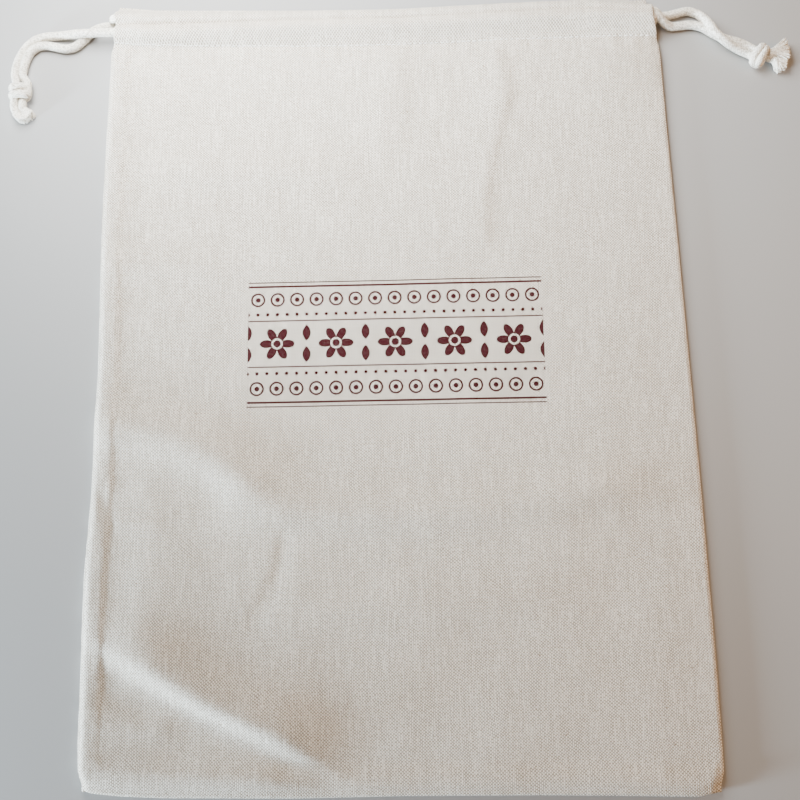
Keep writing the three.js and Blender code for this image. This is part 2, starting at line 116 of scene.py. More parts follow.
RIGHT_OUTER_PASS = [
    (-5.0, -3.3, 2.9), (-2.8, -2.8, 3.4), (-0.8, -2.0, 3.8), (1.2, -0.8, 3.7), (2.4, 1.0, 3.2),
    (2.4, 3.1, 3.0), (0.9, 4.7, 3.6), (-1.2, 4.7, 4.7), (-1.9, 3.0, 6.0), (-1.6, 0.6, 6.8),
    (-0.9, -2.2, 6.9), (-0.3, -4.3, 6.0), (0.1, -5.1, 4.2), (0.4, -4.4, 2.5), (1.2, -2.9, 2.1),
    (2.6, -2.6, 2.8), (4.2, -3.2, 3.9),
]
RIGHT_INNER_PASS = [
    (-5.0, 0.1, 2.4), (-2.8, 0.7, 3.0), (-0.8, 1.0, 3.6), (1.0, 1.5, 3.6), (1.8, 2.8, 3.3),
    (1.3, 4.2, 3.8), (1.1, 4.7, 5.0), (1.3, 3.7, 6.1), (1.5, 1.2, 6.8), (1.6, -1.6, 6.9),
    (1.7, -3.9, 6.0), (1.8, -4.8, 4.2), (1.9, -4.2, 2.5), (2.2, -2.6, 2.1), (3.0, -2.0, 2.3),
    (4.4, -2.4, 2.6),
]
LEFT_OUTER_END = [(-200.9, 145.6, 3.2), (-199.8, 143.4, 2.7)]
LEFT_INNER_END = [(-196.7, 146.0, 3.1), (-195.3, 144.2, 2.6)]
RIGHT_UPPER_END = [(206.0, 165.4, 4.4), (207.2, 165.6, 4.2)]
RIGHT_LOWER_END = [(206.0, 163.9, 2.6), (208.0, 163.4, 2.5)]


def smooth_between(at, knots, values):
    """Values at places between knots: a cubic over each gap, whose slope at a knot is that of the
    parabola through the knot and its two neighbours."""
    knots = np.asarray(knots, float)
    values = np.asarray(values, float)
    slope = np.gradient(values, knots, axis=0)
    at = np.clip(at, knots[0], knots[-1])
    gap = np.clip(np.searchsorted(knots, at, "right") - 1, 0, len(knots) - 2)
    width = knots[gap + 1] - knots[gap]
    part = (at - knots[gap]) / width
    if values.ndim > 1:
        width, part = width[:, None], part[:, None]
    rest = 1 - part
    return (
        rest**2 * (1 + 2 * part) * values[gap] + part**2 * (1 + 2 * rest) * values[gap + 1]
        + width * part * rest * (rest * slope[gap] - part * slope[gap + 1])
    )


def ease(value, start, end):
    """0 up to start, 1 from end on, and the even cubic between them."""
    part = np.clip((value - start) / (end - start), 0, 1)
    return part * part * (3 - 2 * part)


def distance_along(line):
    """Distance from the start of a line to each of its points: the sum of the steps between them."""
    return np.concatenate([[0], np.cumsum(np.linalg.norm(np.diff(line, axis=0), axis=1))])


def smooth_line(places, step):
    """Evenly spaced points on a smooth line through the places."""
    reach = distance_along(np.asarray(places, float))
    dense = smooth_between(np.linspace(0, reach[-1], 60 * len(reach)), reach, places)
    run = distance_along(dense)
    even = np.linspace(0, run[-1], round(run[-1] / step) + 1)
    return np.stack([np.interp(even, run, dense[:, axis]) for axis in range(3)], axis=1)


def frames_along(line, first_side):
    """Two directions square to a line at each point. The first starts level and is carried along
    the line by taking out of it whatever points along the line."""
    heading = np.gradient(line, axis=0)
    heading /= np.linalg.norm(heading, axis=1, keepdims=True)
    side = np.zeros_like(line)
    carried = np.asarray(first_side, float)
    for ring, ahead in enumerate(heading):
        carried = carried - ahead * (carried @ ahead)
        carried = carried / np.linalg.norm(carried)
        side[ring] = carried
    return side, np.cross(heading, side)


def braid_height(turn, reach):
    """Height, from 0 to 1, of a tubular braid: two families of strands on opposite slants. A strand's
    section is half a sine wave, and it swells where it lies on top and sinks where it dives."""
    one = BRAID_STRANDS * turn + reach / BRAID_LAY
    two = BRAID_STRANDS * turn - reach / BRAID_LAY
    on_top = 0.5 + 0.5 * np.sin(np.pi * (two + np.floor(one)))
    below = 0.5 - 0.5 * np.sin(np.pi * (one + np.floor(two)))
    return np.maximum(on_top * np.abs(np.sin(np.pi * one)), below * np.abs(np.sin(np.pi * two)))


def sweep(line, radius, sides, wide=1.0, flat=1.0):
    """Rings of points round a line: radius times a circle, pressed to an oval by wide and flat, with
    the braid's height added. Gives the points, ring by ring, and the braid's height at each."""
    side, up = frames_along(line, (0, 1, 0))
    reach = distance_along(line)[:, None]
    turn = (np.arange(sides) / sides)[None, :]
    height = braid_height(turn, reach)
    out = radius[:, None] + BRAID_RELIEF * (height - BRAID_LEVEL)
    around = 2 * np.pi * turn
    level = (out * wide * np.cos(around))[..., None] * side[:, None, :]
    rising = (out * flat * np.sin(around))[..., None] * up[:, None, :]
    return line[:, None, :] + level + rising, height


def grid_faces(rows, columns, joined):
    """Corner numbers of the four-sided faces of a grid of points, row by row. Joined means that the
    last column meets the first."""
    row, column = np.meshgrid(np.arange(rows - 1), np.arange(columns - (not joined)), indexing="ij")
    here = row * columns + column
    beside = row * columns + (column + 1) % columns
    return np.stack([here, beside, beside + columns, here + columns], axis=-1).reshape(-1, 4)


def add_piece(name, points, faces, material, values=None):
    """A smooth-shaded piece from points in millimetres, lists of faces, and named values at its points."""
    mesh = bpy.data.meshes.new(name)
    mesh.from_pydata(np.reshape(points, (-1, 3)) * MM, [], faces)
    for key, numbers in (values or {}).items():
        kind, field = ("FLOAT_VECTOR", "vector") if np.ndim(numbers) > 1 else ("FLOAT", "value")
        attribute = mesh.attributes.new(key, kind, "POINT")
        attribute.data.foreach_set(field, np.ravel(numbers).astype(np.float32))
    mesh.shade_smooth()
    mesh.materials.append(material)
    piece = bpy.data.objects.new(name, mesh)
    bpy.context.scene.collection.objects.link(piece)
    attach(piece, "root")
    return piece


def add_cord(name, line, radius, sides, material, wide=1.0, flat=1.0):
    """A braided cord along a line, closed by a flat face at each end. Its points carry the braid's height
    and their place on the straight cord."""
    rings, height = sweep(line, radius, sides, wide, flat)
    faces = grid_faces(len(line), sides, True).tolist()
    last = (len(line) - 1) * sides
    faces += [list(range(sides))[::-1], list(range(last, last + sides))]
    reach = np.repeat(distance_along(line), sides)
    around = np.tile(2 * np.pi * np.arange(sides) / sides, len(line))
    place = np.stack([np.cos(around) * CORD / 2, np.sin(around) * CORD / 2, reach], axis=1)
    return add_piece(name, rings, faces, material, {"braid": height.ravel(), "on_cord": place})


class Shade:
    """A number, colour or vector in a material. Arithmetic on it adds Math nodes to the material."""

    def __init__(self, tree, socket=None):
        self.tree = tree
        self.socket = socket

    def node(self, kind, inputs, out=0, **settings):
        """Adds a node of a kind, with its own settings, and values or links for its sockets."""
        node = self.tree.nodes.new(kind)
        for name, value in settings.items():
            setattr(node, name, value)
        for name, value in inputs.items():
            if isinstance(value, Shade):
                self.tree.links.new(value.socket, node.inputs[name])
            else:
                node.inputs[name].default_value = value
        return Shade(self.tree, node.outputs[out] if node.outputs else None)

    def math(self, operation, *values):
        """The result of one Math node on some values."""
        return self.node("ShaderNodeMath", dict(enumerate(values)), operation=operation)

    def __add__(self, other):
        return self.math("ADD", self, other)

    def __sub__(self, other):
        return self.math("SUBTRACT", self, other)

    def __rsub__(self, other):
        return self.math("SUBTRACT", other, self)

    def __mul__(self, other):
        return self.math("MULTIPLY", self, other)

    def __mod__(self, other):
        return self.math("FLOORED_MODULO", self, other)

    def __abs__(self):
        return self.math("ABSOLUTE", self)

    __radd__ = __add__
    __rmul__ = __mul__

    def beside(self, name):
        """Another output of the node that gives this."""
        return Shade(self.tree, self.socket.node.outputs[name])

    def rise(self, start, end):
        """0 up to start, 1 from end on, and an even curve between. With end below start it falls."""
        limits = {"Value": self, "From Min": start, "From Max": end}
        return self.node("ShaderNodeMapRange", limits, interpolation_type="SMOOTHSTEP")

    def mix(self, low, high):
        """The colour low where this is 0, and high where it is 1."""
        return self.node("ShaderNodeMix", {0: self, 6: low, 7: high}, out=2, data_type="RGBA")

    def spread(self, scale, detail=2.0):
        """Noise at a scale per axis, per metre, on this vector."""
        sized = self.node("ShaderNodeMapping", {"Vector": self, "Scale": scale})
        return self.node("ShaderNodeTexNoise", {"Vector": sized, "Scale": 1.0, "Detail": detail})


def new_cloth_finish(name):
    """An empty material and the start of its shade tree."""
    material = bpy.data.materials.new(name)
    material.use_nodes = True
    material.node_tree.nodes.clear()
    return material, Shade(material.node_tree)


def finish_with(start, colour, height, roughness):
    """Closes a matt cloth finish: colour, relief in millimetres, and a little nap that catches light."""
    bump = start.node("ShaderNodeBump", {"Height": height, "Distance": MM, "Strength": 1.0})
    surface = start.node("ShaderNodeBsdfPrincipled", {
        "Base Color": colour, "Roughness": roughness, "Normal": bump,
        "Sheen Weight": 0.015, "Sheen Roughness": 0.6, "Specular IOR Level": 0.12,
    })
    start.node("ShaderNodeOutputMaterial", {"Surface": surface})


def cord_finish():
    """Cream cotton braid: darker and warmer between the strands as painted shade, with fine fibres along
    them.
    """
    material, start = new_cloth_finish("cotton_braid")
    braid = start.node("ShaderNodeAttribute", {}, out="Fac", attribute_name="braid")
    place = start.node("ShaderNodeAttribute", {}, out="Vector", attribute_name="on_cord")
    fibre = place.spread((1.1, 1.1, 0.8), detail=3.0)
    patches = place.spread((0.12, 0.12, 0.09))
    # Painted shade: the lower the braid's height, the darker and warmer the colour. On the cut yarns the
    # braid value is instead a random tone for each yarn.
    lit = 0.36 + 0.60 * braid + 2.2 * (fibre - 0.5) + 0.3 * (patches - 0.5)
    finish_with(start, lit.mix(CREAM_SHADE, CREAM), 0.12 * fibre + 0.04 * braid, 0.92)
    return material


def through_knot(knot, passes):
    """Places of a strand in a knot, from its way along, aside and up, turned to the knot's heading."""
    along, aside, height = np.array(passes).T
    aside = aside * knot["side"]
    heading = np.radians(knot["heading"])
    x = knot["place"][0] + along * np.cos(heading) - aside * np.sin(heading)
    y = knot["place"][1] + along * np.sin(heading) + aside * np.cos(heading)
    return [tuple(place) for place in np.stack([x, y, height], axis=1)]


def add_strand(name, route, knot, passes, end, material, nodes):
    """One free strand: its route to the knot, its way through it, and its end. The knot's pull makes it
    thinner, by an even cubic over a few millimetres before and after the knot."""
    tied = through_knot(knot, passes)
    line = smooth_line(route + tied + end, CORD_STEP)
    reach = distance_along(line)
    into, out_of = (
        reach[np.argmin(np.linalg.norm(line - place, axis=1))] for place in (tied[1], tied[-2])
    )
    pulled = ease(reach, into - DRAWN_IN_OVER, into) * ease(reach, out_of + LET_OUT_OVER, out_of)
    radius = (CORD - (CORD - CORD_IN_KNOT) * pulled) / 2
    strand = add_cord(name, line, radius, CORD_SIDES, material)
    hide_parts(*nodes)
    return strand, line


cotton_braid = cord_finish()
left_upper_strand, left_upper_line = add_strand(
    "left_upper_strand", LEFT_UPPER_ROUTE, LEFT_KNOT, LEFT_OUTER_PASS, LEFT_OUTER_END, cotton_braid,
    ["left_strand_upper", "left_knot"],
)
left_lower_strand, left_lower_line = add_strand(
    "left_lower_strand", LEFT_LOWER_ROUTE, LEFT_KNOT, LEFT_INNER_PASS, LEFT_INNER_END, cotton_braid,
    ["left_strand_lower"],
)
right_upper_strand, right_upper_line = add_strand(
    "right_upper_strand", RIGHT_UPPER_ROUTE, RIGHT_KNOT, RIGHT_OUTER_PASS, RIGHT_UPPER_END, cotton_braid,
    ["right_strand_upper", "right_knot"],
)
right_lower_strand, right_lower_line = add_strand(
    "right_lower_strand", RIGHT_LOWER_ROUTE, RIGHT_KNOT, RIGHT_INNER_PASS, RIGHT_LOWER_END, cotton_braid,
    ["right_strand_lower"],
)

# Cut ends
# Past the braid's end its yarns have sprung apart: a short blunt brush at the left knot, and a wide
# fan at the right one. Each end is one bundle of soft yarns.
YARNS_ACROSS = 16
YARN_LAYERS = 4
YARN_RADIUS = 0.56
YARN_SIDES = 6
YARN_STATIONS = 14
YARN_FLOOR = 0.5
YARN_TAPER = 0.35
YARN_WAVE = 0.10
YARN_AHEAD = 0.45
YARN_TONES = (0.62, 0.95)
TIP_SCATTER = 0.25
TIP_LIFT = 0.3
BUNDLE_FLAT = 0.8


def tube_faces(count, stations, sides):
    """Faces of like tubes whose points follow each other ring by ring, each tube closed at both ends."""
    size = stations * sides
    first = np.arange(count)[:, None] * size
    walls = (grid_faces(stations, sides, True)[None] + first[..., None]).reshape(-1, 4)
    near_ends = first + np.arange(sides)[::-1]
    far_ends = first + size - sides + np.arange(sides)
    return walls.tolist() + near_ends.tolist() + far_ends.tolist()


def add_yarns(name, root, heading, fringe, lift, seed, node):
    """A bundle of yarns. Each runs on a curve of second degree from its place in the cord's end, by
    way of a point ahead of it, to its place on the fringe line, and is thinner at its tip."""
    random = np.random.default_rng(seed)
    across, layer = np.meshgrid(np.linspace(-1, 1, YARNS_ACROSS), np.linspace(-1, 1, YARN_LAYERS))
    across, layer = across.ravel(), layer.ravel()
    count = len(across)
    ahead = np.array([np.cos(np.radians(heading)), np.sin(np.radians(heading)), 0])
    left = np.array([-ahead[1], ahead[0], 0])
    inside = CORD / 2 - YARN_RADIUS * 0.6
    width = np.sqrt(np.clip(1 - (BUNDLE_FLAT * layer) ** 2, 0.1, 1))
    start = np.array(root) + np.outer(across * width * inside, left)
    start[:, 2] += layer * inside * BUNDLE_FLAT
    fringe = np.array(fringe, float)
    share = (across + 1) / 2 + random.uniform(-0.02, 0.02, count)
    tip = smooth_between(np.clip(share, 0, 1), np.linspace(0, 1, len(fringe)), fringe)
    tip[:, 2] = YARN_FLOOR + (layer + 1) / 2 * lift + random.uniform(0, TIP_LIFT, count)
    tip[:, :2] += random.uniform(-TIP_SCATTER, TIP_SCATTER, (count, 2))
    reach = np.linalg.norm(tip - start, axis=1)[:, None]
    middle = start + ahead * reach * YARN_AHEAD
    middle[:, 2] = (start[:, 2] + tip[:, 2]) / 2
    part = np.linspace(0, 1, YARN_STATIONS)[None, :, None]
    rest = 1 - part
    line = rest**2 * start[:, None] + 2 * part * rest * middle[:, None] + part**2 * tip[:, None]
    wave = np.sin(part * random.uniform(5, 11, (count, 1, 1)) + random.uniform(0, 6, (count, 1, 3)))
    line = line + YARN_WAVE * wave * part
    line[..., 2] = np.maximum(line[..., 2], YARN_FLOOR)
    forward = np.gradient(line, axis=1)
    forward /= np.linalg.norm(forward, axis=2, keepdims=True)
    side = np.cross(forward, [0, 0, 1])
    side /= np.linalg.norm(side, axis=2, keepdims=True)
    up = np.cross(side, forward)
    around = (2 * np.pi * np.arange(YARN_SIDES) / YARN_SIDES)[None, None, :, None]
    thick = (YARN_RADIUS * (1 - YARN_TAPER * part**3))[..., None]
    out = np.cos(around) * side[:, :, None] + np.sin(around) * up[:, :, None]
    rings = line[:, :, None] + thick * out
    tone = np.repeat(random.uniform(*YARN_TONES, count), YARN_STATIONS * YARN_SIDES)
    faces = tube_faces(count, YARN_STATIONS, YARN_SIDES)
    yarns = add_piece(name, rings, faces, cotton_braid, {"braid": tone, "on_cord": rings.reshape(-1, 3)})
    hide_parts(node)
    return yarns


left_outer_yarns = add_yarns(
    "left_outer_yarns", (-200.2, 144.2, 2.9), -62,
    [(-201.3, 141.9, 0), (-200.0, 140.2, 0), (-198.4, 139.1, 0), (-196.4, 138.7, 0)],
    3.9, 3, "left_tail_outer",
)
left_inner_yarns = add_yarns(
    "left_inner_yarns", (-195.9, 145.0, 2.9), -48,
    [(-197.0, 138.8, 0), (-194.2, 139.3, 0), (-191.8, 141.0, 0), (-190.8, 142.9, 0), (-191.5, 144.5, 0)],
    3.9, 4, "left_tail_inner",
)
right_upper_yarns = add_yarns(
    "right_upper_yarns", (204.0, 165.2, 4.4), 18,
    [(214.1, 161.5, 0), (215.6, 163.6, 0), (215.7, 166.4, 0), (215.3, 169.9, 0), (214.4, 173.6, 0),
     (212.8, 173.6, 0)],
    4.2, 5, "right_tail_upper",
)
right_lower_yarns = add_yarns(
    "right_lower_yarns", (208.2, 162.9, 2.8), -58,
    [(208.4, 157.8, 0), (209.8, 156.2, 0), (211.8, 157.0, 0), (213.5, 157.6, 0), (213.9, 160.3, 0),
     (214.6, 162.4, 0)],
    3.4, 6, "right_tail_lower",
)

for strand, line, yarns in (
    (left_upper_strand, left_upper_line, left_outer_yarns),
    (left_lower_strand, left_lower_line, left_inner_yarns),
    (right_upper_strand, right_upper_line, right_upper_yarns),
    (right_lower_strand, right_lower_line, right_lower_yarns),
):
    line[0] * MM
    line * MM

# Drawcords, inside the casings
# Each cord runs through the front casing, turns in the open at the far end and comes back through the
# back casing. The casings press it to an oval.
BAG_LENGTH = 402
RUN_SIDES = 32
RUN_WIDE = 1.12
RUN_FLAT = 0.82
RUN_STEP = 0.9
RUN_INSIDE = {"seam": -142.5, "fold": 139.5}
RUN_PLACES = 25

# Where the cords turn from the front casing to the back one: X, and the turn's places by share of its
# height and reach past that X
TURN_X = {"seam": -145.6, "fold": 142.0}
TURN_OUT = ((0.04, 1.3), (0.2, 2.6), (0.5, 3.3), (0.8, 2.6), (0.96, 1.3))

# The outline's Y at the mouth and at the bottom, by X, and the room that the rows of cloth leave inside it
# for their round edges
MOUTH_ROOM = 1.0
BOTTOM_ROOM = 1.6
MOUTH_AND_BOTTOM = np.array([
    (-148, 203.6, -197.6), (-140, 202.8, -199.6), (-127, 201.2, -200.9), (-108, 200.4, -201.8),
    (-47, 198.4, -202.5), (5, 197.5, -201.8), (66, 198.9, -202.0), (106, 199.4, -202.6),
    (138, 199.4, -203.3), (149, 199.4, -201.2),
])

# Where each cord lies in a casing: X, distance down from the mouth, and height of its middle
RUNS = {
    "front_left": np.array([
        (-150, 15.8, 7.5), (-132, 15.1, 9.05), (-46, 11.8, 9.3), (106, 10.7, 9.3), (146, 11.6, 9.3),
    ]),
    "front_right": np.array([(-150, 8.2, 9.3), (-46, 6.2, 9.3), (106, 5.3, 9.3), (146, 8.7, 9.3)]),
    "back_left": np.array([(-150, 10.4, 2.8), (-46, 11.8, 2.8), (106, 12.0, 2.8), (146, 11.9, 2.8)]),
    "back_right": np.array([(-150, 7.4, 2.8), (-46, 6.4, 2.8), (106, 7.0, 2.8), (146, 8.7, 2.8)]),
}


def y_at(x, down):
    """Y of a place on the cloth: its share of the bag's length from the mouth to the bottom seam."""
    mouth = np.interp(x, MOUTH_AND_BOTTOM[:, 0], MOUTH_AND_BOTTOM[:, 1]) - MOUTH_ROOM
    bottom = np.interp(x, MOUTH_AND_BOTTOM[:, 0], MOUTH_AND_BOTTOM[:, 2]) + BOTTOM_ROOM
    return mouth + (bottom - mouth) * down / BAG_LENGTH


def run_places(run, start, stop):
    """Places on a run from one X to another."""
    x = np.linspace(start, stop, RUN_PLACES)
    down, height = (np.interp(x, run[:, 0], run[:, column]) for column in (1, 2))
    return [tuple(place) for place in np.stack([x, y_at(x, down), height], axis=1)]


def add_casing_cord(name, side, turn_x, home_x, out, nodes):
    """The part of a drawcord that the bag holds: front run, turn, and back run."""
    front = run_places(RUNS["front_" + side], home_x, turn_x)
    back = run_places(RUNS["back_" + side], turn_x, home_x)
    high, low = np.array(front[-1]), np.array(back[0])
    turn = [tuple(high + (low - high) * share + (out * reach, 0, 0)) for share, reach in TURN_OUT]
    line = smooth_line(front + turn + back, RUN_STEP)
    radius = np.full(len(line), CORD / 2)
    cord = add_cord(name, line, radius, RUN_SIDES, cotton_braid, RUN_WIDE, RUN_FLAT)
    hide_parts(*nodes)


add_casing_cord(
    "left_cord_in_casing", "left", TURN_X["fold"], RUN_INSIDE["seam"], 1,
    ["left_cord_front_run", "left_cord_bend", "left_cord_back_run"],
)
add_casing_cord(
    "right_cord_in_casing", "right", TURN_X["seam"], RUN_INSIDE["fold"], -1,
    ["right_cord_front_run", "right_cord_bend", "right_cord_back_run"],
)

# Bag cloth
# One piece of calico, folded down the right side and sewn inside along the left side and the bottom.
# At the mouth it is turned down inside and stitched once round, as a casing for the cords. It is a
# shell of one thickness that lies on its back panel and sags over the cords and its own seams.
CLOTH = 0.6
BAG_WIDTH = 300
HEM_DEPTH = 20.0
CASING_END = 22.0
STITCH_DOWN = 20.4
STITCH_GROOVE = 0.8
STITCH_DIP = 0.4
BACK_DIMPLE = 0.35

# Heights and reaches of the panels and their seams
PANEL_FLAT = 3.0
FOLD_EDGE = 3.0
FOLD_EDGE_REACH = 4
ALLOWANCE = 10
ALLOWANCE_RISE = 1.2
SEAM_TROUGH = -0.25
SEAM_PUCKER = 0.16
SEAM_WAVES = ((0.24, 2.9, 0), (0.20, 1.7, 1))
BOTTOM_WAVES = ((0.16, 4.3, 0), (0.16, 2.6, 2))
CASING_LIFT = 2.2
LIFT_REACH = 34
CASING_PUCKER = 0.16
LONG_UNEVEN = 0.20
SHORT_UNEVEN = 0.05
BOTTOM_SEAM_HEIGHT = 1.7

# How the layers of a casing drape over its cords, in the solid's own thickness of cloth
SOLID_CLOTH = 1
BACK_HEM_LOW = 1.5
HEM_GAP = 0.5
FRONT_HANG = 3.9
CHANNEL_LOW = 1.5
MOUTH_PRESSED = 2.5
DRAPE_GAP = 0.72
DRAPE_CURVE = 0.18
DRAPE_REACH = 2.8
DRAPE_BLUNT = 0.35
RUN_HEIGHT = 2.9

# Round edges: how far each stands out past the last row or column of the panels
SEAM_LIP = 0.9
FOLD_LIP = 0.8
BOTTOM_LIP = 2.7
MOUTH_LIP = 1.0
MOUTH_ROLL = 3.2
LIP_POINTS = 9
SEAM_PRESSED = {"reach": 3.2, "share": 0.26}
BOTTOM_PRESSED = {"reach": 4.0, "share": 0.22}
BACK_EDGE_RISE = 0.3
BACK_EDGE_REACH = 1.6
BOTTOM_TURN = (22, 44, 64, 80, 89)
TURN_IN = 0.65
TURNED_UNDER = (-2.5, -6.0)

# The mouth's right end: how far the back casing shows past the mouth and the front one is drawn back, by
# X, and the distance from the mouth over which both fade
MOUTH_DRAWN_BACK = 9
BACK_PEEK = np.array([(96, 0), (128, 0.7), (139, 2.0), (147, 2.2)])
FRONT_DIP = np.array([(131, 0), (138, 0.9), (141, 2.2), (144, 4.6)])

# Places of the sheet's columns and rows: distances, and the step from each to the next
ACROSS_END = 298
FRONT_STOPS = ((0, 0.7), (2.8, 1.4), (8.4, 0.7), (12.6, 1.4), (18.2, 2.2), (289, 1.5), (ACROSS_END, 1))
BACK_STOPS = ((0, 2), (16, 8), (288, 2), (ACROSS_END, 2))
CASING_STOPS = ((0, 0.5), (2, 0.8), (18.8, 0.5), (CASING_END, 1))
BODY_STOPS = ((CASING_END, 0.7), (26.2, 1.4), (33.2, 2.6), (384, 1.1), (401.8, 1))
HEM_STOPS = ((0.4, 1.2), (HEM_DEPTH, 1))

# The side edges' X by distance down from the mouth: sewn side, folded side
SIDE_EDGES = np.array([
    (0, -146.0, 142.8), (13, -146.0, 143.0), (17, -146.6, 145.0), (21, -148.4, 146.6),
    (26, -149.8, 147.6), (33, -150.0, 148.0), (76, -150.4, 148.4), (122, -150.4, 149.1),
    (208, -148.1, 150.1), (268, -148.3, 150.7), (306, -149.7, 150.8), (344, -149.0, 151.0),
    (384, -148.4, 150.7), (396, -147.2, 150.4), (402, -145.4, 148.6),
])

# Soft folds of the front panel, each from one place to another. The two widths are to the left and to the
# right of that way, bow is an arc's height to the left, and fade is how far the ends run out.
FOLDS = [
    dict(name="corner ridge", a=(-114, -145), b=(-58, -173.5), bow=-1.5, rise=4.9, widths=(16, 6), fade=28),
    dict(name="seam ridge", a=(-134, -30), b=(-74, -56), bow=6, rise=3.9, widths=(14, 12), fade=20),
    dict(name="side swell", a=(-119, -58), b=(-119, -122), rise=0.9, widths=(22, 12), fade=14),
    dict(name="low ridge", a=(-136, -188), b=(-66, -193), rise=1.8, widths=(8, 6), fade=22),
    dict(name="corner pocket", a=(-134, -156), b=(-118, -164), rise=-0.8, widths=(7, 7), fade=9),
    dict(name="long low roll", a=(-44, -72), b=(96, -66), bow=-5, rise=2.5, widths=(13, 9), fade=30),
    dict(name="lower roll", a=(-20, -120), b=(40, -116), rise=1.3, widths=(12, 9), fade=30),
    dict(name="side roll", a=(-136, 56), b=(-98, 54), rise=1.3, widths=(10, 9), fade=20),
    dict(name="upper roll", a=(-98, 107), b=(-44, 105), rise=1.4, widths=(11, 9), fade=26),
    dict(name="casing pucker", a=(2, 160), b=(-2, 128), rise=0.8, widths=(7, 10), fade=16),
    dict(name="long crease", a=(64.2, 142), b=(50.5, 67), bow=-4.2, rise=0.9, widths=(3.0, 16), fade=8),
]

# Fine creases that only the thin sheet shows, listed in the same way
CREASES = [
    dict(name="crease to casing", a=(58.9, 167), b=(64.2, 144), rise=0.7, widths=(2.6, 12), fade=3),
    dict(name="faint upright", a=(10.5, 168), b=(9.3, 127), rise=0.35, widths=(2.4, 8), fade=8),
    dict(name="corner crest", a=(-119.7, -149.2), b=(-68, -170.5), bow=-0.8, rise=0.55, widths=(4.5, 2.6),
         fade=9),
    dict(name="band above the corner", a=(-143, -171), b=(-112, -172), rise=0.8, widths=(8, 6), fade=8),
    dict(name="thumb crease", a=(-53.0, -88), b=(-66, -120.5), bow=3, rise=-0.6, widths=(5.5, 3.2), fade=7),
    dict(name="seam pinch", a=(-143, -63), b=(-138, -78), rise=-0.7, widths=(3.4, 3.0), fade=5),
    dict(name="seam pinch end", a=(-137, -77.0), b=(-116, -77.5), rise=0.5, widths=(2.6, 2.8), fade=5),
    dict(name="stitch crease", a=(60.0, 170.6), b=(63.9, 157.2), rise=0.5, widths=(2.0, 2.6), fade=5),
    dict(name="seam tuck", a=(-142.2, -173.0), b=(-125.7, -173.2), rise=-0.3, widths=(1.8, 1.8), fade=3),
    dict(name="casing slant", a=(-111.9, 194.8), b=(-116.0, 188.3), rise=-0.5, widths=(1.6, 2.2), fade=3),
    dict(name="casing tuck one", a=(-87.9, 194.0), b=(-87.7, 185.0), rise=-0.35, widths=(1.5, 2), fade=3),
    dict(name="casing tuck two", a=(-72.7, 193.5), b=(-72.5, 184.5), rise=-0.3, widths=(1.5, 2), fade=3),
    dict(name="casing end pinch", a=(-144.5, 184.8), b=(-136.2, 183.3), rise=-0.9, widths=(1.8, 1.8),
         fade=4),
]

# The weave: distances between threads, and the threads' colours. The dark one also serves as painted shade
# in the weave's dips.
WARP_PITCH = 0.78
WEFT_PITCH = 0.70
CALICO_LIGHT = (0.84, 0.765, 0.665, 1)
CALICO_DARK = (0.28, 0.232, 0.178, 1)
FLECK = (0.22, 0.14, 0.08, 1)

# The printed border: its ink, its middle, half its width, and its motifs by height from the middle line
INK = (0.036, 0.0015, 0.004, 1)
PRINT_CENTRE = (3, 12)
PRINT_HALF = 75
PRINT_TOP = 40
PRINT_EDGE = 0.18
PRINT_RULES = ((12.0, 0.35), (30.2, 0.55), (32.4, 0.3))
FLOWER_PITCH = 30
PETALS = {"inner": 3.3, "length": 5.6}
FLOWER_HEART = 1.9
FLOWER_GAP = (2.7, 3.1)
LEAF = {"middle": 5.6, "half_length": 4.3, "half_width": 2.1}
LEAF_GAP = (0.9, 1.4)
DOTS = {"pitch": 5, "height": 15.4, "radius": 0.95}
RINGS = {"pitch": 10, "height": 23.2, "radius": 3.2, "half_line": 0.5, "heart": 1.3}


def place_at(across, down):
    """Where a part of the width and a distance down from the mouth lie on the plan, and how far that is
    from each edge."""
    seam_x = np.interp(down, SIDE_EDGES[:, 0], SIDE_EDGES[:, 1]) + SEAM_LIP
    fold_x = np.interp(down, SIDE_EDGES[:, 0], SIDE_EDGES[:, 2]) - FOLD_LIP
    x = seam_x + across * (fold_x - seam_x)
    return {
        "x": x, "y": y_at(x, down), "down": down, "from_seam": x - seam_x, "from_fold": fold_x - x,
        "from_bottom": BAG_LENGTH - down,
    }


def bell(value, width):
    """1 at 0, and less on both sides of it: e to the power of minus the square of value over width."""
    return np.exp(-((value / width) ** 2))


def fold_rise(fold, place):
    """Height of a fold: a bell across it, with its own width on each side, times a bell past its ends."""
    way = np.subtract(fold["b"], fold["a"]).astype(float)
    run = np.hypot(*way)
    way /= run
    off_x, off_y = place["x"] - fold["a"][0], place["y"] - fold["a"][1]
    along = off_x * way[0] + off_y * way[1]
    part = np.clip(along / run, 0, 1)
    aside = off_y * way[0] - off_x * way[1] - fold.get("bow", 0) * 4 * part * (1 - part)
    past = np.maximum(0, np.maximum(-along, along - run))
    return fold["rise"] * bell(aside, np.where(aside > 0, *fold["widths"])) * bell(past, fold["fade"])


def ripple(x, y, length, seed):
    """Soft unevenness from about -1 to 1: sixteen sine waves near one length, in random directions."""
    random = np.random.default_rng(seed)
    total = np.zeros(np.broadcast(x, y).shape)
    for _ in range(16):
        angle, phase = random.uniform(0, 2 * np.pi, 2)
        size = length * random.uniform(0.7, 1.5)
        total += np.sin(2 * np.pi * (x * np.cos(angle) + y * np.sin(angle)) / size + phase)
    return total / 5


def edge_waves(along, waves):
    """Sum of sine waves along an edge. A wave is its height, its length over two pi, and its phase."""
    return sum(height * np.sin(along / length + phase) for height, length, phase in waves)


